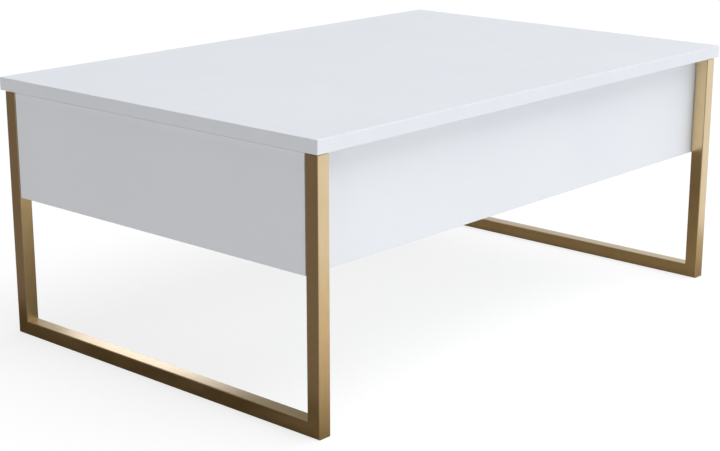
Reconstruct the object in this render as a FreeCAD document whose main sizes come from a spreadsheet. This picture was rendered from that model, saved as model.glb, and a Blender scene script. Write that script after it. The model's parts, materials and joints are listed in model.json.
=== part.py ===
import FreeCAD, Part
import math
import os
import Sketcher

# Lift top coffee table.  Millimetres, +Z up, origin on the floor under the middle of the table.
# X runs along the long side, the sitter is on the -Y side, and the top opens towards -Y.

SIZES = (
    ("top_length", 900, "long side of the table top, along X"),
    ("top_depth", 600, "short side of the table top, along Y"),
    ("total_height", 370, "floor to the upper face of the top"),
    ("top_thickness", 18, "board of the top"),
    ("overhang", 4.5, "top beyond the outer faces of the frames, all round"),
    ("panel", 16, "board of the storage box"),
    ("band", 1, "thickness of an edge band"),
    ("band_round", 0.8, "rounding of the outer edges of the top's bands"),
    ("tube", 20, "square tube of the end frames, outside"),
    ("tube_wall", 1.5, "wall of that tube"),
    ("tube_round", 1.5, "outer corner radius of that tube"),
    ("bumper_height", 2, "gap under the closed top, filled by the bumpers"),
    ("bumper_dia", 10, "rubber bumper"),
    ("skirt_bottom", 202, "floor to the lower edge of the storage box"),
    ("end_inset", 1, "end panel behind the outer plane of its frame"),
    ("post_gap", 1.5, "end panel to post, filled by the rivet nut's flange"),
    ("long_recess", 22, "front and back panel behind the frames' front and back planes"),
    ("bottom_raise", 8, "underside of the bottom panel above the skirt's lower edge"),
    ("cam_dia", 15, "cam lock bore"),
    ("cam_depth", 12.5, "depth of that bore"),
    ("cam_slack", 0.2, "cam lock smaller than its bore, on the diameter"),
    ("cam_reach", 24, "joint face to the middle of the cam, panel to panel"),
    ("frame_reach", 34, "post face to the middle of the cam"),
    ("bolt_bore", 8, "bore round the shank of a cam bolt"),
    ("bolt_dia", 6, "thread and shank of a cam bolt"),
    ("bolt_thread", 10, "depth of that thread in the joint face"),
    ("nut_dia", 9, "body of a rivet nut"),
    ("nut_length", 12, "body of a rivet nut inside the tube"),
    ("dowel_dia", 8, "wooden dowel"),
    ("dowel_short", 10, "dowel in the panel's face"),
    ("dowel_long", 20, "dowel in the other panel's end"),
    ("plate", 3, "steel of base plates and top rails"),
    ("rail_web", 2.5, "web of a top rail"),
    ("rail_gap", 0.5, "web of a top rail to the end panel"),
    ("arm", 4, "steel of the arms"),
    ("arm_in", 4, "end panel to the outer face of the arms"),
    ("arm_length", 200, "pivot to pivot, all four arms"),
    ("arm_rest", 8, "degrees that the closed arms rise towards the back"),
    ("front_arm_round", 13, "end radius of a front arm"),
    ("rear_arm_round", 11, "end radius of a rear arm"),
    ("front_pivot_y", -110, "base pivot of the front arms"),
    ("front_pivot_z", 304, "base pivot of the front arms"),
    ("pivot_step_y", 100, "rear base pivot behind the front one"),
    ("pivot_step_z", -30, "rear base pivot below the front one"),
    ("pin_dia", 8, "pivot pin"),
    ("pivot_slack", 0.08, "arm's hole round the pin, radial"),
    ("spring_lever", 40, "front base pivot to the spring's stud on the arm"),
    ("spring_lever_angle", 22, "that stud above the arm's line, in degrees"),
    ("anchor_y", -225, "spring's stud on the base plate"),
    ("anchor_z", 284, "spring's stud on the base plate"),
    ("spring_in", 22.5, "end panel to the middle plane of a spring"),
    ("spring_wire", 2, "wire of a spring"),
    ("spring_coil", 14, "middle diameter of a spring's coils"),
    ("spring_loop", 8, "middle diameter of a spring's end loops"),
    ("spring_lead", 12, "stud to the first coil"),
    ("spring_turns", 24, "coils of a spring"),
    ("screw_dia", 4, "wood screws"),
    ("screw_bite", 11, "wood screw's thread in the board"),
)

doc = FreeCAD.newDocument("lift_top_coffee_table")
sheet = doc.addObject("Spreadsheet::Sheet", "sizes")
for row, (alias, size, meaning) in enumerate(SIZES, start=1):
    sheet.set(f"A{row}", alias)
    sheet.set(f"B{row}", str(size))
    sheet.setAlias(f"B{row}", alias)
    sheet.set(f"C{row}", meaning)
doc.recompute()

# Every length below is an expression over the sheet, so that a sketch or a feature can be bound to it.
TOP_X = "(sizes.top_length / 2)"
TOP_Y = "(sizes.top_depth / 2)"
TOP_UNDER = "(sizes.total_height - sizes.top_thickness)"
SKIRT_TOP = f"({TOP_UNDER} - sizes.bumper_height)"
SKIRT_BOTTOM = "sizes.skirt_bottom"
FRAME_X = f"({TOP_X} - sizes.overhang)"
FRAME_Y = f"({TOP_Y} - sizes.overhang)"
POST_X = f"({FRAME_X} - sizes.tube / 2)"
POST_Y = f"({FRAME_Y} - sizes.tube / 2)"
POST_BACK = f"({FRAME_Y} - sizes.tube)"
END_OUT = f"({FRAME_X} - sizes.end_inset)"
END_IN = f"({END_OUT} - sizes.panel)"
END_MID = f"({END_OUT} - sizes.panel / 2)"
END_Y = f"({POST_BACK} - sizes.post_gap)"
LONG_OUT = f"({FRAME_Y} - sizes.long_recess)"
LONG_IN = f"({LONG_OUT} - sizes.panel)"
LONG_MID = f"({LONG_OUT} - sizes.panel / 2)"
BOTTOM_UNDER = f"({SKIRT_BOTTOM} + sizes.bottom_raise)"
BOTTOM_MID = f"({BOTTOM_UNDER} + sizes.panel / 2)"
FLOOR = f"({BOTTOM_UNDER} + sizes.panel)"

# Where the fasteners sit, measured up from the skirt's lower edge or along X from the middle.
CORNER_BOLT_RISES = (50, 100)
CORNER_DOWEL_RISE = 75
FRAME_BOLT_RISES = (25, 125)
BOTTOM_BOLTS_X = (-300, 0, 300)
BOTTOM_DOWELS_X = (-375, -150, 150, 375)
SIDES = (("left", -1), ("right", 1))
ENDS = (-1, 1)

# Small sizes that several pieces share.
RUN_OUT = 1
STUD_SEAT_DIA = 6
SCREW_SLACK = 0.5
UPRIGHT = FreeCAD.Rotation()

PLANES = {"x": ("YZ_Plane", 1), "y": ("XZ_Plane", -1), "z": ("XY_Plane", 1)}
subparts = []


def value(expression):
    """The number that an expression over the sheet gives."""
    return float(sheet.evalExpression(str(expression)))


def times(factor, expression):
    return f"({factor} * ({expression}))"


def plus(*terms):
    return "(" + " + ".join(f"({term})" for term in terms) + ")"


def minus(first, second):
    return f"(({first}) - ({second}))"


def mean(first, second):
    return f"((({first}) + ({second})) / 2)"


def keep(item, name):
    """Give an object its node's name and list it as a sub-part."""
    item.Label = name
    if item.Label != name:
        raise ValueError(f"the name {name} is taken")
    subparts.append(item)
    return item


# ---------------------------------------------------------------- sketches and features

def new_body(name):
    return keep(doc.addObject("PartDesign::Body", name), name)


def new_master(name):
    """A fastener that is modelled once and then set in many places."""
    body = doc.addObject("PartDesign::Body", name)
    body.Label = name
    return body


def new_sketch(body, axis, level, name="outline"):
    """A sketch across an axis of the body's own origin, at a level along that axis."""
    role, sense = PLANES[axis]
    plane = next(f for f in body.Origin.OriginFeatures if f.Role == role)
    sketch = body.newObject("Sketcher::SketchObject", name)
    sketch.AttachmentSupport = (plane, [""])
    sketch.MapMode = "FlatFace"
    sketch.setExpression("AttachmentOffset.Base.z", times(sense, level))
    return sketch


def constrain(sketch, expression, kind, *where):
    """Add a dimension to a sketch and bind it to an expression."""
    index = sketch.addConstraint(Sketcher.Constraint(kind, *where, value(expression)))
    sketch.setExpression(f"Constraints[{index}]", str(expression))


def locate(sketch, geometry, point, place):
    constrain(sketch, place[0], "DistanceX", -1, 1, geometry, point)
    constrain(sketch, place[1], "DistanceY", -1, 1, geometry, point)


def point_of(place):
    return FreeCAD.Vector(value(place[0]), value(place[1]), 0)


def polygon(sketch, places):
    """A closed outline of straight edges through the given places."""
    corners = [point_of(place) for place in places]
    count = len(corners)
    first = sketch.GeometryCount
    for i in range(count):
        sketch.addGeometry(Part.LineSegment(corners[i], corners[(i + 1) % count]))
    for i in range(count):
        after = first + (i + 1) % count
        sketch.addConstraint(Sketcher.Constraint("Coincident", first + i, 2, after, 1))
        locate(sketch, first + i, 1, places[i])


def rectangle(sketch, across, up):
    polygon(sketch, [(across[0], up[0]), (across[1], up[0]), (across[1], up[1]), (across[0], up[1])])


def circles(sketch, places, diameter):
    """Circles of one diameter at the given places."""
    first = sketch.GeometryCount
    normal = FreeCAD.Vector(0, 0, 1)
    for i, place in enumerate(places):
        sketch.addGeometry(Part.Circle(point_of(place), normal, value(diameter) / 2))
        locate(sketch, first + i, 3, place)
        if i:
            sketch.addConstraint(Sketcher.Constraint("Equal", first, first + i))
        else:
            constrain(sketch, diameter, "Diameter", first)


def stadium(sketch, start, end, radius):
    """Two half circles of one radius joined by their tangents."""
    a, b, r = point_of(start), point_of(end), value(radius)
    along = (b - a).normalize()
    side = FreeCAD.Vector(-along.y, along.x, 0) * r
    first = sketch.GeometryCount
    sketch.addGeometry(Part.Arc(a + side, a - along * r, a - side))
    sketch.addGeometry(Part.LineSegment(a - side, b - side))
    sketch.addGeometry(Part.Arc(b - side, b + along * r, b + side))
    sketch.addGeometry(Part.LineSegment(b + side, a + side))
    for i in range(4):
        after = first + (i + 1) % 4
        sketch.addConstraint(Sketcher.Constraint("Tangent", first + i, 2, after, 1))
    locate(sketch, first, 3, start)
    locate(sketch, first + 2, 3, end)
    constrain(sketch, radius, "Radius", first)


def pad(body, sketch, length, name="pad"):
    feature = body.newObject("PartDesign::Pad", name)
    feature.Profile = sketch
    feature.setExpression("Length", str(length))
    return feature


def cut(body, sketch, length, name="pocket"):
    """A pocket to both sides of its sketch, half of its length each way."""
    feature = body.newObject("PartDesign::Pocket", name)
    feature.Profile = sketch
    feature.SideType = "Symmetric"
    feature.setExpression("Length", str(length))
    return feature


def slab(body, x, y, z):
    """A rectangular block between two expressions along each axis."""
    sketch = new_sketch(body, "z", z[0])
    rectangle(sketch, x, y)
    return pad(body, sketch, minus(z[1], z[0]))


def drill(body, axis, places, span, diameter, name="bores"):
    """Round bores along an axis, between the two ends of the span."""
    sketch = new_sketch(body, axis, mean(*span), name + "_sketch")
    circles(sketch, places, diameter)
    cut(body, sketch, f"abs{minus(span[1], span[0])}", name)


def turned(body, profile):
    """A solid of revolution about Z from (radius, height) corners."""
    sketch = new_sketch(body, "y", 0)
    polygon(sketch, profile)
    feature = body.newObject("PartDesign::Revolution", "turned")
    feature.Profile = sketch
    feature.ReferenceAxis = (sketch, ["V_Axis"])
    feature.Angle = 360


def place_at(item, place):
    for axis, expression in zip("xyz", place):
        item.setExpression(f"Placement.Base.{axis}", str(expression))


def turn_to(direction):
    return FreeCAD.Rotation(FreeCAD.Vector(0, 0, 1), FreeCAD.Vector(*direction))


def group(name, master, places):
    """Copies of a master, each at a place with its Z axis along a direction, as one node."""
    links = []
    for i, (place, rotation) in enumerate(places):
        link = doc.addObject("App::Link", f"{name}_{i + 1}")
        link.LinkedObject = master
        link.Placement = FreeCAD.Placement(FreeCAD.Vector(), rotation)
        place_at(link, place)
        links.append(link)
    compound = doc.addObject("Part::Compound", name)
    compound.Links = links
    return keep(compound, name)


def boxes(name, spans):
    """Plain strips between expressions along X, Y and Z, as one node."""
    strips = []
    for i, (x, y, z) in enumerate(spans):
        strip = doc.addObject("Part::Box", f"{name}_{i + 1}")
        strip.setExpression("Length", minus(x[1], x[0]))
        strip.setExpression("Width", minus(y[1], y[0]))
        strip.setExpression("Height", minus(z[1], z[0]))
        place_at(strip, (x[0], y[0], z[0]))
        strips.append(strip)
    compound = doc.addObject("Part::Compound", name)
    compound.Links = strips
    return keep(compound, name)


def both_ways(limit, cut_off=0):
    """The span from -limit to +limit, shortened at both ends."""
    reach = minus(limit, cut_off)
    return (times(-1, reach), reach)


def outward(sign, low, high):
    """A span that starts at low from the middle, mirrored to the side of the sign."""
    return (low, high) if sign > 0 else (times(-1, high), times(-1, low))


def inboard(sign, start, end):
    """A span along X, both ends measured inwards from an end panel's inner face."""
    return outward(sign, minus(END_IN, end), minus(END_IN, start))


def above_skirt(rise):
    return plus(SKIRT_BOTTOM, rise)


# ---------------------------------------------------------------- table top

def make_top():
    board = new_body("top_panel")
    height = (TOP_UNDER, "sizes.total_height")
    slab(board, both_ways(TOP_X, "sizes.band"), both_ways(TOP_Y, "sizes.band"), height)
    bite = (TOP_UNDER, plus(TOP_UNDER, "sizes.screw_bite"))
    drill(board, "z", top_screw_places(), bite, "sizes.screw_dia", "screw_bores")

    strips = []
    for name, sign in (("front", -1), ("back", 1)):
        spans = (both_ways(TOP_X), outward(sign, minus(TOP_Y, "sizes.band"), TOP_Y))
        strips.append(top_band(name, spans, "y", sign, True))
    for name, sign in SIDES:
        spans = (outward(sign, minus(TOP_X, "sizes.band"), TOP_X), both_ways(TOP_Y, "sizes.band"))
        strips.append(top_band(name, spans, "x", sign, False))
    bands = doc.addObject("Part::Compound", "top_edge_bands")
    bands.Links = strips
    keep(bands, "top_edge_bands")


def top_band(name, spans, axis, sign, reaches_corners):
    """One strip of the top's edge, with its outer edges rounded."""
    strip = new_master(f"top_band_{name}")
    slab(strip, spans[0], spans[1], (TOP_UNDER, "sizes.total_height"))
    doc.recompute()
    shape = strip.Shape
    box = shape.BoundBox
    outer = {("x", -1): box.XMin, ("x", 1): box.XMax, ("y", -1): box.YMin, ("y", 1): box.YMax}[axis, sign]
    rounded = []
    for i, edge in enumerate(shape.Edges, start=1):
        ends = [getattr(vertex.Point, axis) for vertex in edge.Vertexes]
        upright = abs(edge.tangentAt(edge.FirstParameter).z) > 0.5
        on_face = all(abs(end - outer) < 1e-6 for end in ends)
        if on_face and (reaches_corners or not upright):
            rounded.append(f"Edge{i}")
    block = strip.Tip
    fillet = strip.newObject("PartDesign::Fillet", "rounded")
    fillet.Base = (block, rounded)
    fillet.setExpression("Radius", "sizes.band_round")
    return strip


# ---------------------------------------------------------------- storage box

def make_end_panel(name, sign):
    """An end panel stands between the two posts of its frame."""
    panel = new_body(f"{name}_end_panel")
    depth = (plus(SKIRT_BOTTOM, "sizes.band"), minus(SKIRT_TOP, "sizes.band"))
    slab(panel, outward(sign, END_IN, END_OUT), both_ways(END_Y), depth)
    bolts = [(times(end, LONG_MID), above_skirt(rise)) for end in ENDS for rise in CORNER_BOLT_RISES]
    thread = into_end_panel(sign, "sizes.bolt_thread")
    drill(panel, "x", bolts, thread, "sizes.bolt_dia", "corner_bolts_bores")
    dowels = [(times(end, LONG_MID), above_skirt(CORNER_DOWEL_RISE)) for end in ENDS]
    socket = into_end_panel(sign, "sizes.dowel_short")
    drill(panel, "x", dowels, socket, "sizes.dowel_dia", "corner_dowels_bores")
    cam_y = minus(POST_BACK, "sizes.frame_reach")
    cams = [(times(end, cam_y), above_skirt(rise)) for end in ENDS for rise in FRAME_BOLT_RISES]
    pocket = into_end_panel(sign, "sizes.cam_depth")
    drill(panel, "x", cams, pocket, "sizes.cam_dia", "frame_cams_bores")
    shanks = [(times(sign, END_MID), above_skirt(rise)) for rise in FRAME_BOLT_RISES]
    for end in ENDS:
        drill(panel, "y", shanks, outward(end, cam_y, END_Y), "sizes.bolt_bore", "frame_bolts_bores")
    screws = into_end_panel(sign, "sizes.screw_bite")
    drill(panel, "x", BASE_SCREWS, screws, "sizes.screw_dia", "base_plate_screws_bores")


def into_end_panel(sign, depth):
    return outward(sign, END_IN, plus(END_IN, depth))


def make_long_panel(name, end):
    """The front or back panel closes the box between the end panels."""
    panel = new_body(f"{name}_panel")
    depth = (plus(SKIRT_BOTTOM, "sizes.band"), minus(SKIRT_TOP, "sizes.band"))
    slab(panel, both_ways(END_IN), outward(end, LONG_IN, LONG_OUT), depth)
    cam_x = minus(END_IN, "sizes.cam_reach")
    cams = [(times(sign, cam_x), above_skirt(rise)) for sign in ENDS for rise in CORNER_BOLT_RISES]
    cam_span = outward(end, LONG_IN, plus(LONG_IN, "sizes.cam_depth"))
    drill(panel, "y", cams, cam_span, "sizes.cam_dia", "corner_cams_bores")
    shanks = [(times(end, LONG_MID), above_skirt(rise)) for rise in CORNER_BOLT_RISES]
    dowel = [(times(end, LONG_MID), above_skirt(CORNER_DOWEL_RISE))]
    for sign in ENDS:
        drill(panel, "x", shanks, outward(sign, cam_x, END_IN), "sizes.bolt_bore", "corner_bolts_bores")
        dowel_span = outward(sign, minus(END_IN, "sizes.dowel_long"), END_IN)
        drill(panel, "x", dowel, dowel_span, "sizes.dowel_dia", "corner_dowels_bores")
    bolts = [(x, BOTTOM_MID) for x in BOTTOM_BOLTS_X]
    bolt_span = outward(end, LONG_IN, plus(LONG_IN, "sizes.bolt_thread"))
    drill(panel, "y", bolts, bolt_span, "sizes.bolt_dia", "bottom_bolts_bores")
    dowels = [(x, BOTTOM_MID) for x in BOTTOM_DOWELS_X]
    dowel_span = outward(end, LONG_IN, plus(LONG_IN, "sizes.dowel_short"))
    drill(panel, "y", dowels, dowel_span, "sizes.dowel_dia", "bottom_dowels_bores")


def make_bottom_panel():
    """The bottom lies between all four panels, just above their lower edges."""
    panel = new_body("bottom_panel")
    slab(panel, both_ways(END_IN), both_ways(LONG_IN), (BOTTOM_UNDER, FLOOR))
    cam_y = minus(LONG_IN, "sizes.cam_reach")
    cams = [(x, times(end, cam_y)) for end in ENDS for x in BOTTOM_BOLTS_X]
    cam_span = (BOTTOM_UNDER, plus(BOTTOM_UNDER, "sizes.cam_depth"))
    drill(panel, "z", cams, cam_span, "sizes.cam_dia", "cam_bores")
    for end in ENDS:
        bolts = [(x, BOTTOM_MID) for x in BOTTOM_BOLTS_X]
        drill(panel, "y", bolts, outward(end, cam_y, LONG_IN), "sizes.bolt_bore", "bolt_bores")
        dowels = [(x, BOTTOM_MID) for x in BOTTOM_DOWELS_X]
        dowel_span = outward(end, minus(LONG_IN, "sizes.dowel_long"), LONG_IN)
        drill(panel, "y", dowels, dowel_span, "sizes.dowel_dia", "dowel_bores")


def make_skirt_bands():
    """Strips on the lower and upper edges of the four box panels."""
    levels = (
        (SKIRT_BOTTOM, plus(SKIRT_BOTTOM, "sizes.band")),
        (minus(SKIRT_TOP, "sizes.band"), SKIRT_TOP),
    )
    spans = []
    for level in levels:
        for sign in ENDS:
            spans.append((outward(sign, END_IN, END_OUT), both_ways(END_Y), level))
            spans.append((both_ways(END_IN), outward(sign, LONG_IN, LONG_OUT), level))
    boxes("skirt_edge_bands", spans)


def make_bumpers():
    """Rubber discs on the box's upper edges carry the closed top."""
    master = new_master("bumper")
    radius = "sizes.bumper_dia / 2"
    chamfer = "sizes.bumper_height / 2"
    turned(master, [
        (0, 0), (radius, 0), (radius, chamfer),
        (minus(radius, chamfer), "sizes.bumper_height"), (0, "sizes.bumper_height"),
    ])
    bumper_y = 220
    places = [((times(sign, END_MID), end * bumper_y, SKIRT_TOP), UPRIGHT) for sign in ENDS for end in ENDS]
    places += [((0, times(end, LONG_MID), SKIRT_TOP), UPRIGHT) for end in ENDS]
    group("top_bumpers", master, places)


# ---------------------------------------------------------------- joints of the boards

def cam_bolt(name, reach):
    """A threaded end, a plain shank and a necked head; Z runs from the joint face to the cam."""
    master = new_master(name)
    radius, tip = "sizes.bolt_dia / 2", times(-1, "sizes.bolt_thread")
    neck, head, half_head = 2, 3.5, 1.5
    neck_low = minus(reach, 5)
    head_low, head_high = minus(reach, half_head), plus(reach, half_head)
    turned(master, [
        (0, tip), (radius, tip), (radius, neck_low), (neck, neck_low),
        (neck, head_low), (head, head_low), (head, head_high), (0, head_high),
    ])
    return master


def cam_lock(name):
    """A cam housing; Z points out of its bore, its face is at zero and its mouth is along +X."""
    master = new_master(name)
    spare, mouth, below = 0.5, 8.4, 5
    height, bolt_depth = minus("sizes.cam_depth", spare), "(sizes.panel / 2)"
    sketch = new_sketch(master, "z", times(-1, height))
    circles(sketch, [(0, 0)], minus("sizes.cam_dia", "sizes.cam_slack"))
    pad(master, sketch, height)
    mouth_low, mouth_high = times(-1, plus(bolt_depth, below)), times(-1, minus(bolt_depth, mouth / 2))
    sketch = new_sketch(master, "z", mean(mouth_low, mouth_high))
    rectangle(sketch, (-mouth / 2, "sizes.cam_dia"), (-mouth / 2, mouth / 2))
    cut(master, sketch, minus(mouth_high, mouth_low), "mouth")
    slot_long, slot_wide, slot_depth = 8, 1.6, 2.5
    for across, up in ((slot_long, slot_wide), (slot_wide, slot_long)):
        sketch = new_sketch(master, "z", 0)
        rectangle(sketch, (-across / 2, across / 2), (-up / 2, up / 2))
        cut(master, sketch, 2 * slot_depth, "driver_slot")
    return master


def facing(mouth, out):
    """The rotation that turns +X to the mouth's direction and +Z to the outward one."""
    x, z = FreeCAD.Vector(*mouth), FreeCAD.Vector(*out)
    return FreeCAD.Rotation(x, z.cross(x), z, "ZXY")


def make_board_joints():
    short_bolt = cam_bolt("short_cam_bolt", "sizes.cam_reach")
    long_bolt = cam_bolt("long_cam_bolt", "sizes.frame_reach")
    lock = cam_lock("cam_lock")

    dowel = new_master("dowel")
    radius, chamfer = "(sizes.dowel_dia / 2)", 1
    low, high = times(-1, "sizes.dowel_short"), "sizes.dowel_long"
    turned(dowel, [
        (0, low), (minus(radius, chamfer), low), (radius, plus(low, chamfer)),
        (radius, minus(high, chamfer)), (minus(radius, chamfer), high), (0, high),
    ])

    nut = new_master("rivet_nut")
    bore, wall, flange, flange_height = "sizes.bolt_dia / 2", "sizes.nut_dia / 2", 6, 1
    low = times(-1, "sizes.nut_length")
    turned(nut, [
        (bore, low), (wall, low), (wall, 0), (flange, 0), (flange, flange_height), (bore, flange_height),
    ])

    nuts, frame_bolts, frame_locks = [], [], []
    for sign in ENDS:
        for end in ENDS:
            for rise in FRAME_BOLT_RISES:
                height = above_skirt(rise)
                face = (times(sign, END_MID), times(end, POST_BACK), height)
                nuts.append((face, turn_to((0, -end, 0))))
                frame_bolts.append((face, turn_to((0, -end, 0))))
                middle = times(end, minus(POST_BACK, "sizes.frame_reach"))
                lock_face = (times(sign, END_IN), middle, height)
                frame_locks.append((lock_face, facing((0, end, 0), (-sign, 0, 0))))
    group("frame_rivet_nuts", nut, nuts)
    group("frame_cam_bolts", long_bolt, frame_bolts)
    group("frame_cam_locks", lock, frame_locks)

    corner_bolts, corner_locks, corner_dowels = [], [], []
    for sign in ENDS:
        inwards = turn_to((-sign, 0, 0))
        for end in ENDS:
            face = (times(sign, END_IN), times(end, LONG_MID))
            corner_dowels.append(((*face, above_skirt(CORNER_DOWEL_RISE)), inwards))
            middle = times(sign, minus(END_IN, "sizes.cam_reach"))
            for rise in CORNER_BOLT_RISES:
                corner_bolts.append(((*face, above_skirt(rise)), inwards))
                lock_face = (middle, times(end, LONG_IN), above_skirt(rise))
                corner_locks.append((lock_face, facing((sign, 0, 0), (0, -end, 0))))
    group("corner_cam_bolts", short_bolt, corner_bolts)
    group("corner_cam_locks", lock, corner_locks)
    group("corner_dowels", dowel, corner_dowels)

    bottom_bolts, bottom_locks, bottom_dowels = [], [], []
    for end in ENDS:
        inwards = turn_to((0, -end, 0))
        for x in BOTTOM_BOLTS_X:
            bottom_bolts.append(((x, times(end, LONG_IN), BOTTOM_MID), inwards))
            middle = times(end, minus(LONG_IN, "sizes.cam_reach"))
            bottom_locks.append(((x, middle, BOTTOM_UNDER), facing((0, end, 0), (0, 0, -1))))
        for x in BOTTOM_DOWELS_X:
            bottom_dowels.append(((x, times(end, LONG_IN), BOTTOM_MID), inwards))
    group("bottom_cam_bolts", short_bolt, bottom_bolts)
    group("bottom_cam_locks", lock, bottom_locks)
    group("bottom_dowels", dowel, bottom_dowels)


# ---------------------------------------------------------------- end frames

def tube_body(name, length, mitres):
    """Square tube along its own Z from zero, mitred at 45 degrees where the list says.

    A mitre keeps the tube's -Y wall full length and shortens its +Y wall by the tube's size.
    """
    body = new_body(name)
    sketch = new_sketch(body, "z", 0)
    rectangle(sketch, both_ways("sizes.tube / 2"), both_ways("sizes.tube / 2"))
    block = pad(body, sketch, length)
    doc.recompute()
    edges = block.Shape.Edges
    upright = [f"Edge{i}" for i, e in enumerate(edges, start=1) if e.Length > value("sizes.tube") + RUN_OUT]
    fillet = body.newObject("PartDesign::Fillet", "corners")
    fillet.Base = (block, upright)
    fillet.setExpression("Radius", "sizes.tube_round")
    bore = minus("sizes.tube / 2", "sizes.tube_wall")
    sketch = new_sketch(body, "z", times(0.5, length))
    rectangle(sketch, both_ways(bore), both_ways(bore))
    cut(body, sketch, plus(length, 2 * RUN_OUT), "bore")
    for near, far in mitres:
        sketch = new_sketch(body, "x", 0)
        half = "(sizes.tube / 2)"
        polygon(sketch, [(times(-1, half), near), (half, near), (half, far)])
        cut(body, sketch, plus("sizes.tube", 2 * RUN_OUT), "mitre")
    return body


def make_frames():
    """Each end frame is two posts and a floor rail, mitred and welded into a U."""
    for name, sign in SIDES:
        for place, end in (("front", -1), ("rear", 1)):
            post = tube_body(f"{name}_{place}_post", SKIRT_TOP, [(0, "sizes.tube")])
            # The rivet nuts go through the wall that faces the end panel.
            spin = 0 if end < 0 else 180
            across = times(sign if end < 0 else -sign, minus(END_MID, POST_X))
            half = "(sizes.tube / 2)"
            wall = (minus(half, plus("sizes.tube_wall", RUN_OUT)), plus(half, RUN_OUT))
            holes = [(across, above_skirt(rise)) for rise in FRAME_BOLT_RISES]
            drill(post, "y", holes, wall, "sizes.nut_dia", "rivet_nut_holes")
            post.Placement = FreeCAD.Placement(
                FreeCAD.Vector(), FreeCAD.Rotation(FreeCAD.Vector(0, 0, 1), spin)
            )
            place_at(post, (times(sign, POST_X), times(end, POST_Y), 0))
        length = times(2, FRAME_Y)
        ends = [(0, "sizes.tube"), (length, minus(length, "sizes.tube"))]
        rail = tube_body(f"{name}_floor_rail", length, ends)
        # The rail lies along Y with its full-length wall on the floor.
        across, up = FreeCAD.Vector(-1, 0, 0), FreeCAD.Vector(0, 0, 1)
        rail.Placement = FreeCAD.Placement(
            FreeCAD.Vector(), FreeCAD.Rotation(across, up, FreeCAD.Vector(0, 1, 0), "ZXY")
        )
        place_at(rail, (times(sign, POST_X), times(-1, FRAME_Y), "sizes.tube / 2"))

    plug = new_master("post_plug")
    depth, slack = 12, 0.1
    half = minus("sizes.tube / 2", plus("sizes.tube_wall", slack))
    slab(plug, both_ways(half), both_ways(half), (-depth, 0))
    tops = [(times(sign, POST_X), times(end, POST_Y), SKIRT_TOP) for sign in ENDS for end in ENDS]
    group("post_plugs", plug, [(top, UPRIGHT) for top in tops])


# ---------------------------------------------------------------- lift mechanism

FRONT_PIVOT = ("sizes.front_pivot_y", "sizes.front_pivot_z")
REAR_PIVOT = (
    plus("sizes.front_pivot_y", "sizes.pivot_step_y"),
    plus("sizes.front_pivot_z", "sizes.pivot_step_z"),
)
REACH_Y = "(sizes.arm_length * cos(sizes.arm_rest * 1deg))"
REACH_Z = "(sizes.arm_length * sin(sizes.arm_rest * 1deg))"
FRONT_TOP_PIVOT = (plus(FRONT_PIVOT[0], REACH_Y), plus(FRONT_PIVOT[1], REACH_Z))
REAR_TOP_PIVOT = (plus(REAR_PIVOT[0], REACH_Y), plus(REAR_PIVOT[1], REACH_Z))
ANCHOR = ("sizes.anchor_y", "sizes.anchor_z")
LEVER_ANGLE = "((sizes.arm_rest + sizes.spring_lever_angle) * 1deg)"
LEVER = (
    plus(FRONT_PIVOT[0], f"sizes.spring_lever * cos{LEVER_ANGLE}"),
    plus(FRONT_PIVOT[1], f"sizes.spring_lever * sin{LEVER_ANGLE}"),
)
# The same stud, seen along the arm from its base pivot.
EAR = (
    "(sizes.spring_lever * cos(sizes.spring_lever_angle * 1deg))",
    "(sizes.spring_lever * sin(sizes.spring_lever_angle * 1deg))",
)
EAR_ROUND = 9

BASE_SCREWS = [(-240, 300), (-240, 256), (-55, 256), (8, 253)]
BASE_OUTLINE = [(-250, 244), (18, 244), (18, 292), (-82, 325), (-138, 325), (-200, 310), (-250, 310)]
RAIL_SCREWS_Y = (-170, -60, 60, 190)
RAIL_SCREW_IN = 15
RAIL_WIDTH = 26
RAIL_OUTLINE = [
    (-190, TOP_UNDER), (-190, 338), (48, 338), (74, 318), (165, 289), (215, 289), (215, TOP_UNDER)
]
FLANGE_WIDTH = 12
WASHER = 0.9
# The pivot stack between an end panel's inner face and the heads of the pins.
STACK = 9


def top_screw_places():
    across = minus(END_IN, RAIL_SCREW_IN)
    return [(times(sign, across), y) for sign in ENDS for y in RAIL_SCREWS_Y]


def bent_plate(name, sign, outline, web, flange_x, flange_y, flange_z):
    """A web across X and a flange along one of its edges."""
    body = new_body(name)
    low, high = inboard(sign, *web)
    sketch = new_sketch(body, "x", low)
    polygon(sketch, outline)
    pad(body, sketch, minus(high, low), "web")
    slab(body, inboard(sign, *flange_x), flange_y, flange_z)
    return body


def make_base_plate(name, sign):
    web = (0, "sizes.plate")
    low = BASE_OUTLINE[0][1]
    flange_y = (BASE_OUTLINE[0][0], BASE_OUTLINE[1][0])
    flange_z = (low, plus(low, "sizes.plate"))
    plate = bent_plate(f"{name}_base_plate", sign, BASE_OUTLINE, web, (0, FLANGE_WIDTH), flange_y, flange_z)
    span = inboard(sign, -RUN_OUT, plus("sizes.plate", RUN_OUT))
    drill(plate, "x", [FRONT_PIVOT, REAR_PIVOT], span, "sizes.pin_dia", "pivots")
    drill(plate, "x", [ANCHOR], span, STUD_SEAT_DIA, "anchor")
    drill(plate, "x", BASE_SCREWS, span, plus("sizes.screw_dia", SCREW_SLACK), "screw_holes")


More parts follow.
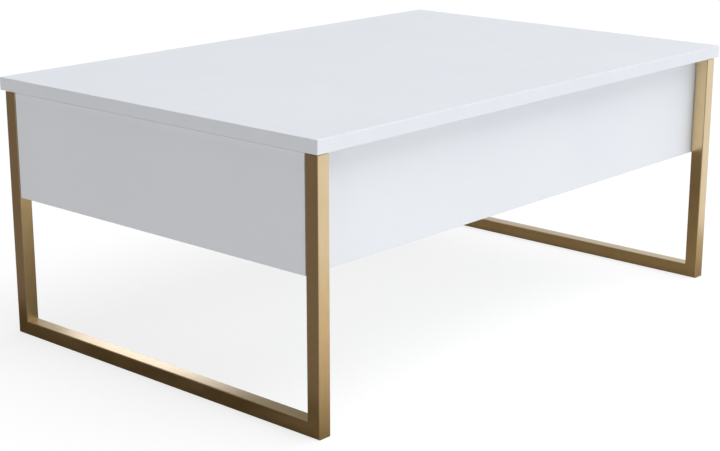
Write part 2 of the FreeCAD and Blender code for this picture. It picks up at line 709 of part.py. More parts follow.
def make_top_rail(name, sign):
    web = ("sizes.rail_gap", plus("sizes.rail_gap", "sizes.rail_web"))
    flange_y = (RAIL_OUTLINE[0][0], RAIL_OUTLINE[-1][0])
    flange_z = (minus(TOP_UNDER, "sizes.rail_web"), TOP_UNDER)
    flange_x = ("sizes.rail_gap", RAIL_WIDTH)
    rail = bent_plate(f"{name}_top_rail", sign, RAIL_OUTLINE, web, flange_x, flange_y, flange_z)
    span = inboard(sign, -RUN_OUT, plus("sizes.plate", RUN_OUT))
    drill(rail, "x", [FRONT_TOP_PIVOT, REAR_TOP_PIVOT], span, "sizes.pin_dia", "pivots")
    holes = [(times(sign, minus(END_IN, RAIL_SCREW_IN)), y) for y in RAIL_SCREWS_Y]
    through = (minus(TOP_UNDER, plus("sizes.rail_web", RUN_OUT)), plus(TOP_UNDER, RUN_OUT))
    drill(rail, "z", holes, through, plus("sizes.screw_dia", SCREW_SLACK), "screw_holes")


def along_yz(degrees):
    """The rotation that lays local X at an angle above +Y, with local Z along +X."""
    c, s = math.cos(math.radians(degrees)), math.sin(math.radians(degrees))
    forward, upward = FreeCAD.Vector(0, c, s), FreeCAD.Vector(0, -s, c)
    return FreeCAD.Rotation(forward, upward, FreeCAD.Vector(1, 0, 0), "ZXY")


def make_arm(name, sign, pivot, radius, has_ear):
    """A flat bar with an eye at each end; a front arm also has an ear for the spring's stud."""
    arm = new_body(name)
    ends = [(0, 0), ("sizes.arm_length", 0)]
    sketch = new_sketch(arm, "z", 0)
    stadium(sketch, ends[0], ends[1], radius)
    pad(arm, sketch, "sizes.arm", "bar")
    through = (-RUN_OUT, plus("sizes.arm", RUN_OUT))
    if has_ear:
        sketch = new_sketch(arm, "z", 0)
        stadium(sketch, (0, 0), EAR, EAR_ROUND)
        pad(arm, sketch, "sizes.arm", "ear")
        drill(arm, "z", [EAR], through, STUD_SEAT_DIA, "stud_hole")
    hole = plus("sizes.pin_dia", "2 * sizes.pivot_slack")
    drill(arm, "z", ends, through, hole, "eyes")
    arm.Placement = FreeCAD.Placement(FreeCAD.Vector(), along_yz(value("sizes.arm_rest")))
    low, _ = inboard(sign, "sizes.arm_in", plus("sizes.arm_in", "sizes.arm"))
    place_at(arm, (low, *pivot))


def stud(name, seat):
    """A spring stud: pressed end, post, groove for the loop and head; Z runs inboard."""
    master = new_master(name)
    post, groove, head, chamfer = 4, 2.5, 4.5, 0.5
    half_groove, head_height = 2, 2
    middle, base = minus("sizes.spring_in", seat[0]), minus(seat[1], seat[0])
    low, high = minus(middle, half_groove), plus(middle, half_groove)
    top = plus(high, head_height)
    turned(master, [
        (0, 0), (STUD_SEAT_DIA / 2, 0), (STUD_SEAT_DIA / 2, base), (post, base), (post, low), (groove, low),
        (groove, high), (head, high), (head, minus(top, chamfer)), (head - chamfer, top), (0, top),
    ])
    return master


def spring_hook(stud_z, inward, wire, coil, loop, lead):
    """A closed loop round a stud and the bent wire from it to the rim of the coil.

    The bent wire is a little thinner than the loop and the coil, so that it enters both cleanly.
    """
    def place(x, z):
        return FreeCAD.Vector(x, 0, stud_z + inward * z)

    ring = Part.makeTorus(loop, wire, place(0, 0), FreeCAD.Vector(0, 1, 0))
    thin = 0.9 * wire
    bend = 3 * wire
    sunk = 0.2 * wire
    middle = place(bend * (1 - math.sqrt(0.5)), lead - bend * (1 - math.sqrt(0.5)))
    start = place(0, loop + sunk)
    path = Part.Wire([
        Part.makeLine(start, place(0, lead - bend)),
        Part.Arc(place(0, lead - bend), middle, place(bend, lead)).toShape(),
        Part.makeLine(place(bend, lead), place(coil + sunk, lead)),
    ])
    section = Part.Wire([Part.makeCircle(thin, start, FreeCAD.Vector(0, 0, inward))])
    return ring.fuse(path.makePipeShell([section], True, True))


def make_spring(name, sign):
    """A tension spring from the base plate's stud to the arm's stud, stretched as when closed."""
    start = FreeCAD.Vector(0, value(ANCHOR[0]), value(ANCHOR[1]))
    end = FreeCAD.Vector(0, value(LEVER[0]), value(LEVER[1]))
    length = (end - start).Length
    wire, coil = value("sizes.spring_wire / 2"), value("sizes.spring_coil / 2")
    loop, lead = value("sizes.spring_loop / 2"), value("sizes.spring_lead")
    turns = value("sizes.spring_turns")
    height = length - 2 * lead
    helix = Part.makeHelix(height / turns, height, coil)
    helix.translate(FreeCAD.Vector(0, 0, lead))
    edge = helix.Edges[0]
    section = Part.makeCircle(wire, edge.valueAt(edge.FirstParameter), edge.tangentAt(edge.FirstParameter))
    shape = Part.Wire([edge]).makePipeShell([Part.Wire([section])], True, True)
    for stud_z, inward in ((0, 1), (length, -1)):
        shape = shape.fuse(spring_hook(stud_z, inward, wire, coil, loop, lead))
    spring = doc.addObject("Part::Feature", f"{name}_spring")
    spring.Shape = shape
    along = (end - start).normalize()
    across = FreeCAD.Vector(1, 0, 0)
    turn = FreeCAD.Rotation(across.cross(along), across, along, "ZYX")
    seat = value(times(sign, minus(END_IN, "sizes.spring_in")))
    spring.Placement = FreeCAD.Placement(FreeCAD.Vector(seat, start.y, start.z), turn)
    keep(spring, f"{name}_spring")


def make_pivots():
    """Riveted pins through both ends of the arms, with a nylon washer on each side of every arm."""
    pin = new_master("pivot_pin")
    shaft, head, chamfer = "(sizes.pin_dia / 2)", 7, 1
    head_low = minus(STACK, "sizes.rail_gap")
    head_high = plus(head_low, 3)
    turned(pin, [
        (0, 0), (shaft, 0), (shaft, head_low), (head, head_low), (head, minus(head_high, chamfer)),
        (head - chamfer, head_high), (0, head_high),
    ])
    washer = new_master("nylon_washer")
    hole, rim = plus(shaft, 0.1), 8
    turned(washer, [(hole, 0), (rim, 0), (rim, WASHER), (hole, WASHER)])

    for level, pivots in (("base", (FRONT_PIVOT, REAR_PIVOT)), ("top", (FRONT_TOP_PIVOT, REAR_TOP_PIVOT))):
        pins, washers = [], []
        for sign in ENDS:
            inwards = turn_to((-sign, 0, 0))
            for pivot in pivots:
                pins.append(((times(sign, minus(END_IN, "sizes.rail_gap")), *pivot), inwards))
                for start in ("sizes.plate", STACK - WASHER):
                    washers.append(((times(sign, minus(END_IN, start)), *pivot), inwards))
        group(f"{level}_pivot_pins", pin, pins)
        group(f"{level}_pivot_washers", washer, washers)


def make_studs():
    """The springs hang between a stud on each base plate and one on each front arm."""
    anchor = stud("anchor_stud", (0, "sizes.plate"))
    lever = stud("lever_stud", ("sizes.arm_in", plus("sizes.arm_in", "sizes.arm")))
    anchors = [((times(sign, END_IN), *ANCHOR), turn_to((-sign, 0, 0))) for sign in ENDS]
    group("spring_anchor_studs", anchor, anchors)
    for name, sign in SIDES:
        seat = times(sign, minus(END_IN, "sizes.arm_in"))
        group(f"{name}_arm_stud", lever, [((seat, *LEVER), turn_to((-sign, 0, 0)))])


def make_screws():
    """Pan head wood screws hold the base plates to the end panels and the rails to the top."""
    screw = new_master("pan_head_screw")
    radius, point, head = "(sizes.screw_dia / 2)", 0.5, 4
    tip, under = times(-1, minus("sizes.screw_bite", 0.5)), "sizes.plate"
    turned(screw, [
        (0, tip), (point, tip), (radius, plus(tip, 2)), (radius, under), (head, under),
        (head, plus(under, 1.2)), (head - 1, plus(under, 2.3)), (0, plus(under, 2.5)),
    ])
    base = []
    for sign in ENDS:
        base += [((times(sign, END_IN), *place), turn_to((-sign, 0, 0))) for place in BASE_SCREWS]
    group("base_plate_screws", screw, base)
    down = turn_to((0, 0, -1))
    seat = plus(TOP_UNDER, "sizes.plate - sizes.rail_web")
    group("top_rail_screws", screw, [((*place, seat), down) for place in top_screw_places()])


def make_lift():
    for name, sign in SIDES:
        make_base_plate(name, sign)
        make_top_rail(name, sign)
        make_arm(f"{name}_front_arm", sign, FRONT_PIVOT, "sizes.front_arm_round", True)
        make_arm(f"{name}_rear_arm", sign, REAR_PIVOT, "sizes.rear_arm_round", False)
        make_spring(name, sign)
    make_pivots()
    make_studs()
    make_screws()


# ---------------------------------------------------------------- whole table

make_top()
for side_name, side_sign in SIDES:
    make_end_panel(side_name, side_sign)
make_long_panel("front", -1)
make_long_panel("back", 1)
make_bottom_panel()
make_skirt_bands()
make_bumpers()
make_board_joints()
make_frames()
make_lift()
doc.recompute()

for item in doc.Objects:
    if {"Invalid", "Error"} & set(item.State):
        raise RuntimeError(f"{item.Name} failed: {item.State}")
for item in doc.Objects:
    base = getattr(item, "BaseFeature", None)
    if item.isDerivedFrom("PartDesign::Pocket") and item.Shape.Volume >= base.Shape.Volume - 1e-6:
        raise RuntimeError(f"{item.Name} of {item.getParentGeoFeatureGroup().Label} cuts nothing")
for item in subparts:
    if item.Shape.isNull() or not item.Shape.isValid():
        raise RuntimeError(f"{item.Label} has no valid shape")

os.makedirs("parts", exist_ok=True)
for item in subparts:
    item.Shape.exportStep(f"parts/{item.Label}.step")
print(len(subparts), "nodes written")
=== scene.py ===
import json
import math

import bpy
from mathutils import Matrix, Vector


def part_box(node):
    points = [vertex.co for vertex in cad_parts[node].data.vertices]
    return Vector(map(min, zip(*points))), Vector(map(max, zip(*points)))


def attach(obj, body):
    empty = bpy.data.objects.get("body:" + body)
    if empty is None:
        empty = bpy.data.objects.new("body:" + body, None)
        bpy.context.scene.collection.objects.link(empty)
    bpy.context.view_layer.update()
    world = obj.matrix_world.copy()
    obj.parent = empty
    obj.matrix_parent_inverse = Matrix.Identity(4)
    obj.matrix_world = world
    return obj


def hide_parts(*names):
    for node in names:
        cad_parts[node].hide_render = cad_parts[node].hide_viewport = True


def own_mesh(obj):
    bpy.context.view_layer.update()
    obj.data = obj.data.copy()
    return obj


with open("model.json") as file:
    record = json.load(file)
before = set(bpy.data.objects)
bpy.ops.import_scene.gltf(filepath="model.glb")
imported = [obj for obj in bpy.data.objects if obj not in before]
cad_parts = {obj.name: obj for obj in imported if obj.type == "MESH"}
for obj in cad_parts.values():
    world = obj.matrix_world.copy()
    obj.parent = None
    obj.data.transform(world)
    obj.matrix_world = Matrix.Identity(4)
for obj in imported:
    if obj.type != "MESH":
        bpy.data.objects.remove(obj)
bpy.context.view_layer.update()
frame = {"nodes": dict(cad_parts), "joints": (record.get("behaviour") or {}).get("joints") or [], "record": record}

# ---------------------------------------------------------------- camera

AZIMUTH = math.radians(-48.137)
ELEVATION = math.radians(15.588)
DISTANCE = 2.3797
AIM = Vector((-0.0267, 0.0145, 0.1232))
LENS_MM = 79.84
SENSOR_MM = 36.0


def make_camera():
    """The camera stands at the front left, a little above the top, and looks slightly down."""
    data = bpy.data.cameras.new("camera")
    data.lens = LENS_MM
    data.sensor_width = SENSOR_MM
    camera = bpy.data.objects.new("camera", data)
    bpy.context.scene.collection.objects.link(camera)
    level = math.cos(ELEVATION)
    back = Vector((math.sin(AZIMUTH) * level, -math.cos(AZIMUTH) * level, math.sin(ELEVATION)))
    camera.location = AIM + back * DISTANCE
    camera.rotation_euler = (math.radians(90) - ELEVATION, 0, AZIMUTH)
    bpy.context.scene.camera = camera


# ---------------------------------------------------------------- material helpers

class Shader:
    """One material's node tree, with short calls for the nodes that all the materials use."""

    def __init__(self, name):
        self.material = bpy.data.materials.new(name)
        self.material.use_nodes = True
        self.tree = self.material.node_tree
        self.surface = self.tree.nodes["Principled BSDF"]

    def node(self, kind, **settings):
        made = self.tree.nodes.new(kind)
        for name, setting in settings.items():
            setattr(made, name, setting)
        return made

    def link(self, source, target):
        self.tree.links.new(source, target)

    def set(self, **constants):
        """Constants of the surface, by socket name with spaces as underscores."""
        for name, constant in constants.items():
            self.surface.inputs[name.replace("_", " ")].default_value = constant

    def place(self, stretch=(1, 1, 1)):
        """Coordinates of the piece itself, in metres, stretched along each axis."""
        coordinates = self.node("ShaderNodeTexCoord")
        mapping = self.node("ShaderNodeMapping")
        mapping.inputs["Scale"].default_value = stretch
        self.link(coordinates.outputs["Object"], mapping.inputs["Vector"])
        return mapping.outputs["Vector"]

    def noise(self, size, stretch=(1, 1, 1), detail=3.0, rough=0.5):
        """Noise with features of about the given size in metres."""
        texture = self.node("ShaderNodeTexNoise")
        texture.inputs["Scale"].default_value = 1 / size
        texture.inputs["Detail"].default_value = detail
        texture.inputs["Roughness"].default_value = rough
        self.link(self.place(stretch), texture.inputs["Vector"])
        return texture.outputs["Fac"]

    def spread(self, value, low, high, start=0.3, end=0.7):
        """Maps a value from start..end to low..high."""
        ranged = self.node("ShaderNodeMapRange")
        for name, number in (("From Min", start), ("From Max", end), ("To Min", low), ("To Max", high)):
            ranged.inputs[name].default_value = number
        self.link(value, ranged.inputs["Value"])
        return ranged.outputs["Result"]

    def colours(self, value, *stops):
        """A colour ramp of (position, (r, g, b)) stops."""
        ramp = self.node("ShaderNodeValToRGB")
        elements = ramp.color_ramp.elements
        while len(elements) < len(stops):
            elements.new(0.5)
        for element, (position, colour) in zip(elements, stops):
            element.position = position
            element.color = (*colour, 1)
        self.link(value, ramp.inputs["Fac"])
        return ramp.outputs["Color"]

    def math(self, operation, first, second):
        """Two values or constants combined by a math operation."""
        made = self.node("ShaderNodeMath", operation=operation)
        for socket, source in zip(made.inputs, (first, second)):
            if isinstance(source, (int, float)):
                socket.default_value = source
            else:
                self.link(source, socket)
        return made.outputs[0]

    def mix(self, amount, first, second):
        """Two colours mixed by an amount."""
        made = self.node("ShaderNodeMix", data_type="RGBA")
        self.link(amount, made.inputs["Factor"])
        for name, source in (("A", first), ("B", second)):
            socket = next(s for s in made.inputs if s.name == name and s.type == "RGBA")
            if isinstance(source, tuple):
                socket.default_value = (*source, 1)
            else:
                self.link(source, socket)
        return next(s for s in made.outputs if s.type == "RGBA")

    def bump(self, height, distance, strength=1.0, before=None):
        """Relief of the given depth in metres; returns the normal."""
        made = self.node("ShaderNodeBump")
        made.inputs["Distance"].default_value = distance
        made.inputs["Strength"].default_value = strength
        self.link(height, made.inputs["Height"])
        if before is not None:
            self.link(before, made.inputs["Normal"])
        return made.outputs["Normal"]

    def into(self, name, source):
        """Feeds a socket of the surface."""
        self.link(source, self.surface.inputs[name])


# ---------------------------------------------------------------- materials

def white_board():
    """Satin melamine: a fine pearl, faint clouds and fibres, and barely visible wiping marks."""
    shader = Shader("white_melamine")
    cloud = shader.noise(0.16, detail=4)
    fibre = shader.noise(0.0016, stretch=(1, 2.4, 1), detail=4)
    tint = shader.colours(cloud, (0.3, (0.778, 0.800, 0.830)), (0.7, (0.798, 0.818, 0.846)))
    shader.into("Base Color", shader.mix(shader.spread(fibre, 0, 0.10), tint, (0.75, 0.77, 0.80)))
    wiping = shader.noise(0.02, stretch=(0.25, 2, 1), detail=5, rough=0.6)
    pearl = shader.noise(0.0009, detail=2)
    roughness = shader.math("ADD", shader.spread(wiping, 0.34, 0.42), shader.spread(pearl, -0.03, 0.03))
    shader.into("Roughness", roughness)
    wave = shader.bump(shader.noise(0.035, detail=2), 0.00008, 0.5)
    shader.into("Normal", shader.bump(pearl, 0.00004, 0.6, before=wave))
    shader.set(IOR=1.48, Specular_IOR_Level=0.45)
    return shader.material


def white_edge():
    """Edge band: the same white, with faint lines along the strip."""
    shader = Shader("white_edge_band")
    cloud = shader.noise(0.05, detail=3)
    shader.into("Base Color", shader.colours(
        cloud, (0.3, (0.748, 0.768, 0.800)), (0.7, (0.766, 0.786, 0.816))
    ))
    lines = shader.noise(0.0011, stretch=(0.02, 0.02, 1), detail=3)
    speck = shader.noise(0.0007, detail=2)
    shader.into("Roughness", shader.math(
        "ADD", shader.spread(lines, 0.36, 0.44), shader.spread(speck, -0.02, 0.03)
    ))
    relief = shader.bump(lines, 0.00003, 0.5)
    shader.into("Normal", shader.bump(speck, 0.00002, 0.5, before=relief))
    shader.set(IOR=1.48, Specular_IOR_Level=0.42)
    return shader.material


def gold_tube(name, along):
    """Gold coated steel with a fine brushing along the tube's axis."""
    shader = Shader(name)
    brushed = 0.02
    stretch = tuple(brushed if axis == along else 1 for axis in "XYZ")
    streak = shader.noise(0.0006, stretch=stretch, detail=4, rough=0.6)
    cloud = shader.noise(0.06, detail=4, rough=0.55)
    gold = shader.colours(
        cloud, (0.3, (0.760, 0.550, 0.265)), (0.5, (0.800, 0.590, 0.295)), (0.7, (0.830, 0.620, 0.325))
    )
    shader.into("Base Color", shader.mix(shader.spread(streak, 0, 0.35), gold, (0.66, 0.46, 0.20)))
    speck = shader.noise(0.0005, detail=2)
    smear = shader.noise(0.03, stretch=stretch, detail=4)
    roughness = shader.math("ADD", shader.spread(smear, 0.30, 0.38), shader.spread(speck, -0.03, 0.03))
    shader.into("Roughness", roughness)
    grain = shader.bump(streak, 0.00003, 0.35)
    shader.into("Normal", shader.bump(speck, 0.00001, 0.3, before=grain))
    shader.set(Metallic=1.0, Coat_Weight=1.0, Coat_Roughness=0.2, Coat_IOR=1.9)
    return shader.material


def black_steel():
    """Powder coat: orange peel and lighter rubbed patches."""
    shader = Shader("black_powder_coat")
    rubbed = shader.noise(0.025, detail=5, rough=0.65)
    shader.into("Base Color", shader.colours(
        rubbed, (0.35, (0.026, 0.027, 0.029)), (0.65, (0.045, 0.046, 0.049))
    ))
    peel = shader.noise(0.0014, detail=2)
    shader.into("Roughness", shader.math(
        "ADD", shader.spread(rubbed, 0.46, 0.36), shader.spread(peel, -0.05, 0.05)
    ))
    shader.into("Normal", shader.bump(peel, 0.00012, 0.8))
    shader.set(IOR=1.5)
    return shader.material


def bright_metal(name, low, high, rough, grain, depth):
    """Bare or plated metal from a dark to a light tone, with a mottled surface."""
    shader = Shader(name)
    patch = 6 * grain
    mottle = shader.noise(patch, detail=4, rough=0.6)
    shader.into("Base Color", shader.colours(mottle, (0.35, low), (0.65, high)))
    fine = shader.noise(grain, detail=3)
    shader.into("Roughness", shader.math(
        "ADD", shader.spread(mottle, rough, rough + 0.1), shader.spread(fine, -0.04, 0.04)
    ))
    shader.into("Normal", shader.bump(fine, depth, 0.6))
    shader.set(Metallic=1.0)
    return shader.material


def spring_steel():
    """Drawn wire, dark and oiled, with fine die lines."""
    shader = Shader("oiled_spring_wire")
    oil = shader.noise(0.012, detail=4)
    shader.into("Base Color", shader.colours(
        oil, (0.35, (0.20, 0.205, 0.215)), (0.65, (0.42, 0.425, 0.44))
    ))
    lines = shader.noise(0.0004, detail=3)
    shader.into("Roughness", shader.spread(oil, 0.22, 0.38))
    shader.into("Normal", shader.bump(lines, 0.00003, 0.6))
    shader.set(Metallic=1.0, Coat_Weight=0.3, Coat_Roughness=0.15)
    return shader.material


def soft_plastic(name, dark, light, rough, grain, glow=0.0):
    """Moulded plastic or rubber: a spark-eroded grain over a slightly uneven tone."""
    shader = Shader(name)
    tone = shader.noise(0.01, detail=3)
    shader.into("Base Color", shader.colours(tone, (0.35, dark), (0.65, light)))
    pebble = shader.noise(grain, detail=3)
    shader.into("Roughness", shader.spread(pebble, rough - 0.05, rough + 0.08))
    shader.into("Normal", shader.bump(pebble, 0.00005, 0.7))
    shader.set(Subsurface_Weight=glow, Subsurface_Radius=(0.002, 0.002, 0.002))
    return shader.material


def beech():
    """Turned beech: long fibres, small darker flecks and a matte, slightly furry face."""
    shader = Shader("raw_beech")
    fibre = shader.noise(0.0008, stretch=(0.12, 0.12, 1), detail=5, rough=0.6)
    fleck = shader.noise(0.0012, stretch=(0.4, 0.4, 1), detail=2)
    wood = shader.colours(fibre, (0.3, (0.50, 0.33, 0.18)), (0.7, (0.70, 0.50, 0.31)))
    flecked = shader.spread(fleck, 0, 0.6, start=0.55, end=0.75)
    shader.into("Base Color", shader.mix(flecked, wood, (0.36, 0.21, 0.11)))
    shader.into("Roughness", shader.spread(fibre, 0.55, 0.72))
    shader.into("Normal", shader.bump(fibre, 0.00006, 0.8))
    return shader.material


def zinc_steel():
    return bright_metal(
        "zinc_plate", (0.50, 0.51, 0.54), (0.68, 0.69, 0.70), rough=0.24, grain=0.0012, depth=0.00003
    )


def cast_zinc():
    return bright_metal(
        "cast_zinc", (0.36, 0.37, 0.39), (0.52, 0.53, 0.55), rough=0.42, grain=0.0008, depth=0.00008
    )


def nylon():
    return soft_plastic(
        "natural_nylon", (0.72, 0.71, 0.66), (0.80, 0.79, 0.75), rough=0.42, grain=0.0006, glow=0.2
    )


def clear_rubber():
    return soft_plastic(
        "grey_rubber", (0.48, 0.49, 0.50), (0.58, 0.59, 0.60), rough=0.5, grain=0.0005, glow=0.3
    )


def black_plastic():
    return soft_plastic(
        "black_plastic", (0.015, 0.015, 0.016), (0.03, 0.03, 0.032), rough=0.5, grain=0.0004
    )


def dress_cad_nodes():
    """Every CAD node gets the material of its record slot; tubes are brushed along their own axis."""
    makers = (
        white_board, white_edge, black_steel, zinc_steel, cast_zinc, spring_steel, nylon, clear_rubber,
        black_plastic, beech,
    )
    made = {maker.__name__: maker() for maker in makers}
    uprights, rails = gold_tube("gold_upright", "Z"), gold_tube("gold_rail", "Y")
    for entry in frame["record"]["subparts"]:
        node, slot = entry["node"], entry["material_slot"]
        if slot == "gold_tube":
            material = rails if node.endswith("rail") else uprights
        else:
            material = made[slot]
        mesh = frame["nodes"][node].data
        mesh.materials.clear()
        mesh.materials.append(material)
    return made


# ---------------------------------------------------------------- lift springs

# Radii of the wire, of the coil's and of the hooks' centre lines, in metres.
WIRE = 0.001
COIL = 0.007
HOOK = 0.0035
# How far a hook's open end runs towards the coil, and stud to first coil.
HOOK_LEG = 0.006
LEAD = 0.012
TURNS = 24
STEPS_PER_TURN = 24
STEPS_PER_HOOK = 12


def joint(name):
    return next(j for j in frame["joints"] if j["name"] == name)


def middle(node):
    low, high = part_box(node)
    return (Vector(low) + Vector(high)) / 2


def spring_points(length):
    """Centre line of a hooked coil along +Z, from a stud at the origin to one at the given length."""
    half = [Vector((-HOOK, 0, HOOK_LEG)), Vector((-HOOK, 0, HOOK_LEG / 2))]
    for i in range(STEPS_PER_HOOK + 1):
        turn = math.pi * i / STEPS_PER_HOOK
        half.append(Vector((-HOOK * math.cos(turn), 0, -HOOK * math.sin(turn))))
    half.append(Vector((HOOK, 0, 0.6 * HOOK_LEG)))
    half.append(Vector((HOOK + 0.35 * (COIL - HOOK), 0, 0.72 * LEAD)))
    coil = []
    steps = TURNS * STEPS_PER_TURN
    for i in range(steps + 1):
        turn = math.tau * i / STEPS_PER_TURN
        rise = LEAD + (length - 2 * LEAD) * i / steps
        coil.append(Vector((COIL * math.cos(turn), COIL * math.sin(turn), rise)))
    far = [Vector((p.x, p.y, length - p.z)) for p in reversed(half)]
    return half + coil + far


def make_spring(side, material):
    """A tension spring from the base plate's stud to the arm's, stretched as in the closed table."""
    hinge, lift = joint(f"{side}_spring_swing"), joint("lift")
    anchor, pivot = Vector(hinge["pos_m"]), Vector(lift["pos_m"])
    stud = middle(f"{side}_arm_stud")
    far = Vector((anchor.x, stud.y, stud.z))
    pivot.x = anchor.x
    span = far - anchor
    along, across = span.normalized(), Vector((1, 0, 0))

    curve = bpy.data.curves.new(f"{side}_coil_line", "CURVE")
    curve.dimensions = "3D"
    curve.bevel_depth = WIRE
    curve.bevel_resolution = 3
    curve.use_fill_caps = True
    points = spring_points(span.length)
    spline = curve.splines.new("NURBS")
    spline.points.add(len(points) - 1)
    for point, place in zip(spline.points, points):
        point.co = (*place, 1)
    spline.order_u = 3
    spline.use_endpoint_u = True
    spline.resolution_u = 2
    line = bpy.data.objects.new(f"{side}_coil_line", curve)
    bpy.context.scene.collection.objects.link(line)
    graph = bpy.context.evaluated_depsgraph_get()
    mesh = bpy.data.meshes.new_from_object(line.evaluated_get(graph))
    bpy.data.objects.remove(line)

    turn = Matrix((across.cross(along), across, along)).transposed().to_4x4()
    mesh.transform(Matrix.Translation(anchor) @ turn)
    for face in mesh.polygons:
        face.use_smooth = True
    mesh.materials.clear()
    mesh.materials.append(material)
    spring = bpy.data.objects.new(f"{side}_lift_spring", mesh)
    bpy.context.scene.collection.objects.link(spring)
    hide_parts(f"{side}_spring")
    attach(spring, f"{side}_spring")
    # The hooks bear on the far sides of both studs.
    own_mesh(spring)


# ---------------------------------------------------------------- stage and light

FLOOR_REACH = 40
# Just above the floor, and just under the box.
CARD_ON_FLOOR = 0.0002
CARD_UNDER_BOX = 0.2015
# The studio's bright direction, and its colours from the far side (0) to that direction (1).
BRIGHT_SIDE = (0.75, -0.55, 0.35)
STUDIO = (
    (0.00, (0.19, 0.158, 0.130)),
    (0.15, (0.154, 0.139, 0.124)),
    (0.40, (0.235, 0.235, 0.245)),
    (0.68, (0.53, 0.54, 0.56)),
    (0.90, (0.91, 0.94, 0.99)),
)
KEY_FROM = (0.10, -0.17, 0.48)
KEY_ENERGY = 1.82
KEY_ANGLE = math.radians(60)
WINDOW_PLACE = Vector((0.02, 0.55, 0.28))
WINDOW_SIZE = (0.30, 0.15)
WINDOW_ENERGY = 0.23


def make_staging(name, corners, faces, material):
    """Something that belongs to the studio and not to the table."""
    mesh = bpy.data.meshes.new(name)
    mesh.from_pydata(corners, [], faces)
    mesh.materials.append(material)
    piece = bpy.data.objects.new(name, mesh)
    bpy.context.scene.collection.objects.link(piece)
    return piece


def make_plane(name, x, y, height, material):
    """A level rectangle."""
    corners = [(x[0], y[0], height), (x[1], y[0], height), (x[1], y[1], height), (x[0], y[1], height)]
    return make_staging(name, corners, [(0, 1, 2, 3)], material)


def make_floor():
    """A white seamless floor that glows a little, so that the table's shadow on it stays light."""
    shader = Shader("pale_floor")
    cloud = shader.noise(0.8, detail=2)
    shader.into("Base Color", shader.colours(
        cloud, (0.3, (0.28, 0.28, 0.28)), (0.7, (0.30, 0.30, 0.30))
    ))
    shader.into("Roughness", shader.spread(cloud, 0.75, 0.85))
    shader.set(Specular_IOR_Level=0.1, Emission_Color=(1, 1, 1, 1), Emission_Strength=0.71)
    span = (-FLOOR_REACH, FLOOR_REACH)
    floor = make_plane("floor", span, span, 0, shader.material)
    floor.visible_glossy = False


def make_backdrop():
    """White walls round the far floor that only the camera sees: low views end in white too."""
    shader = Shader("backdrop")
    cloud = shader.spread(shader.noise(6.0, detail=2), 1.02, 1.04)
    shader.into("Emission Strength", cloud)
    shader.set(Base_Color=(0, 0, 0, 1), Emission_Color=(1, 1, 1, 1))
    shader.set(Roughness=1.0, Specular_IOR_Level=0.0)
    sides, radius, rise = 48, 0.95 * FLOOR_REACH, FLOOR_REACH
    corners = []
    for z in (0, rise):
        for side in range(sides):
            turn = math.tau * side / sides
            corners.append((radius * math.cos(turn), radius * math.sin(turn), z))
    faces = [(i, (i + 1) % sides, sides + (i + 1) % sides, sides + i) for i in range(sides)]
    walls = make_staging("backdrop", corners, faces, shader.material)
    walls.visible_diffuse = False
    walls.visible_glossy = False
    walls.visible_shadow = False


def make_card(name, across, forward, height, material):
    """A level card that nothing but reflections can see."""
    card = make_plane(name, across, forward, height, material)
    card.visible_camera = False
    card.visible_diffuse = False
    card.visible_shadow = False


def make_painted_shade_card():
    """A dark card just under the box that only reflections see: painted shade, so the gold near the front posts
    mirrors a dark, shaded underside.
    """
    shader = Shader("painted_shade_card")
    cloud = shader.spread(shader.noise(0.1, detail=2), 0, 1)
    shader.into("Base Color", shader.colours(
        cloud, (0.0, (0.16, 0.15, 0.13)), (1.0, (0.19, 0.18, 0.16))
    ))
    shader.set(Roughness=0.9, Specular_IOR_Level=0.0)
    make_card("painted_shade_card", (-0.42, 0.42), (-0.25, 0.18), CARD_UNDER_BOX, shader.material)


def make_reflected_shadow_card():
    """A card on the floor that only reflections see, coloured with painted shadow and painted light: polished
    tubes darken towards their feet.
    """
    shader = Shader("reflected_shadow_card")
    coordinates = shader.node("ShaderNodeTexCoord")
    split = shader.node("ShaderNodeSeparateXYZ")
    shader.link(coordinates.outputs["Object"], split.inputs["Vector"])
    cloud = shader.spread(shader.noise(0.1, detail=2), 0.9, 1.1)
    # Painted shadow and light: darkest past the table's left end, dim under the table, and light in front where
    # the floor is lit.
    across = shader.math("MULTIPLY", split.outputs["X"], cloud)
    across = shader.spread(across, 0, 1, start=-0.50, end=-0.38)
    forward = shader.math("MULTIPLY", split.outputs["Y"], cloud)
    forward = shader.spread(forward, 1, 0, start=-0.60, end=-0.28)
    painted_shadow_tone = shader.colours(across, (0.0, (0.08, 0.06, 0.035)), (1.0, (0.24, 0.20, 0.14)))
    shader.into("Base Color", shader.mix(forward, painted_shadow_tone, (0.70, 0.62, 0.50)))
    shader.set(Roughness=0.9, Specular_IOR_Level=0.0)
    make_card("reflected_shadow_card", (-0.53, 0.68), (-0.75, 0.50), CARD_ON_FLOOR, shader.material)


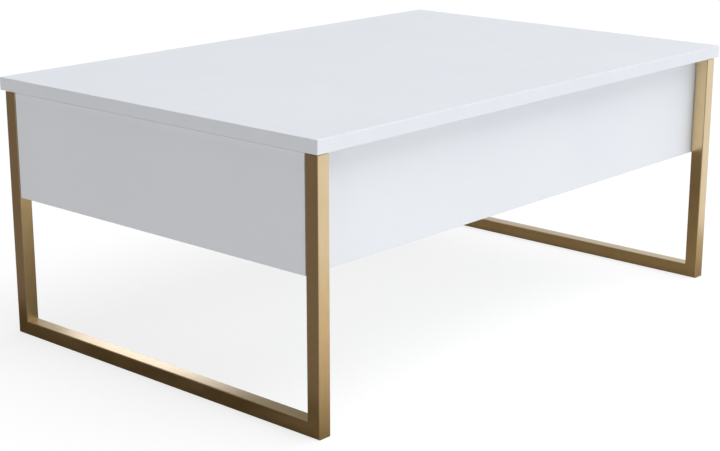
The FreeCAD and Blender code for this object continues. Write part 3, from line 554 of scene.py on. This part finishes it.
def make_world():
    """A studio that is bright towards the front right and above, and dim and warm towards the left."""
    world = bpy.data.worlds.new("studio")
    world.use_nodes = True
    tree = world.node_tree
    bpy.context.scene.world = world
    coordinates = tree.nodes.new("ShaderNodeTexCoord")
    towards = tree.nodes.new("ShaderNodeVectorMath")
    towards.operation = "DOT_PRODUCT"
    towards.inputs[1].default_value = Vector(BRIGHT_SIDE).normalized()
    ranged = tree.nodes.new("ShaderNodeMapRange")
    ranged.inputs["From Min"].default_value = -1
    ramp = tree.nodes.new("ShaderNodeValToRGB")
    while len(ramp.color_ramp.elements) < len(STUDIO):
        ramp.color_ramp.elements.new(0.5)
    for element, (position, colour) in zip(ramp.color_ramp.elements, STUDIO):
        element.position = position
        element.color = (*colour, 1)
    tree.links.new(coordinates.outputs["Generated"], towards.inputs[0])
    tree.links.new(towards.outputs["Value"], ranged.inputs["Value"])
    tree.links.new(ranged.outputs["Result"], ramp.inputs["Fac"])
    tree.links.new(ramp.outputs["Color"], tree.nodes["Background"].inputs["Color"])


def aim_light(name, kind, towards):
    """A light that shines from the given direction towards the table."""
    data = bpy.data.lights.new(name, kind)
    light = bpy.data.objects.new(name, data)
    bpy.context.scene.collection.objects.link(light)
    light.rotation_euler = Vector(towards).to_track_quat("Z", "Y").to_euler()
    light.visible_camera = False
    return light


def make_lights():
    """A wide, distant key above the front right, and a low window behind that only gloss reflects."""
    key = aim_light("key", "SUN", KEY_FROM)
    key.data.energy = KEY_ENERGY
    key.data.angle = KEY_ANGLE
    window = aim_light("window", "AREA", WINDOW_PLACE - middle("left_floor_rail"))
    window.location = WINDOW_PLACE
    window.data.shape = "RECTANGLE"
    window.data.size, window.data.size_y = WINDOW_SIZE
    window.data.energy = WINDOW_ENERGY
    window.visible_diffuse = False


make_camera()
made_materials = dress_cad_nodes()
for spring_side in ("left", "right"):
    make_spring(spring_side, made_materials["spring_steel"])
make_floor()
make_backdrop()
make_reflected_shadow_card()
make_painted_shade_card()
make_world()
make_lights()
bpy.context.scene.view_settings.view_transform = "Standard"
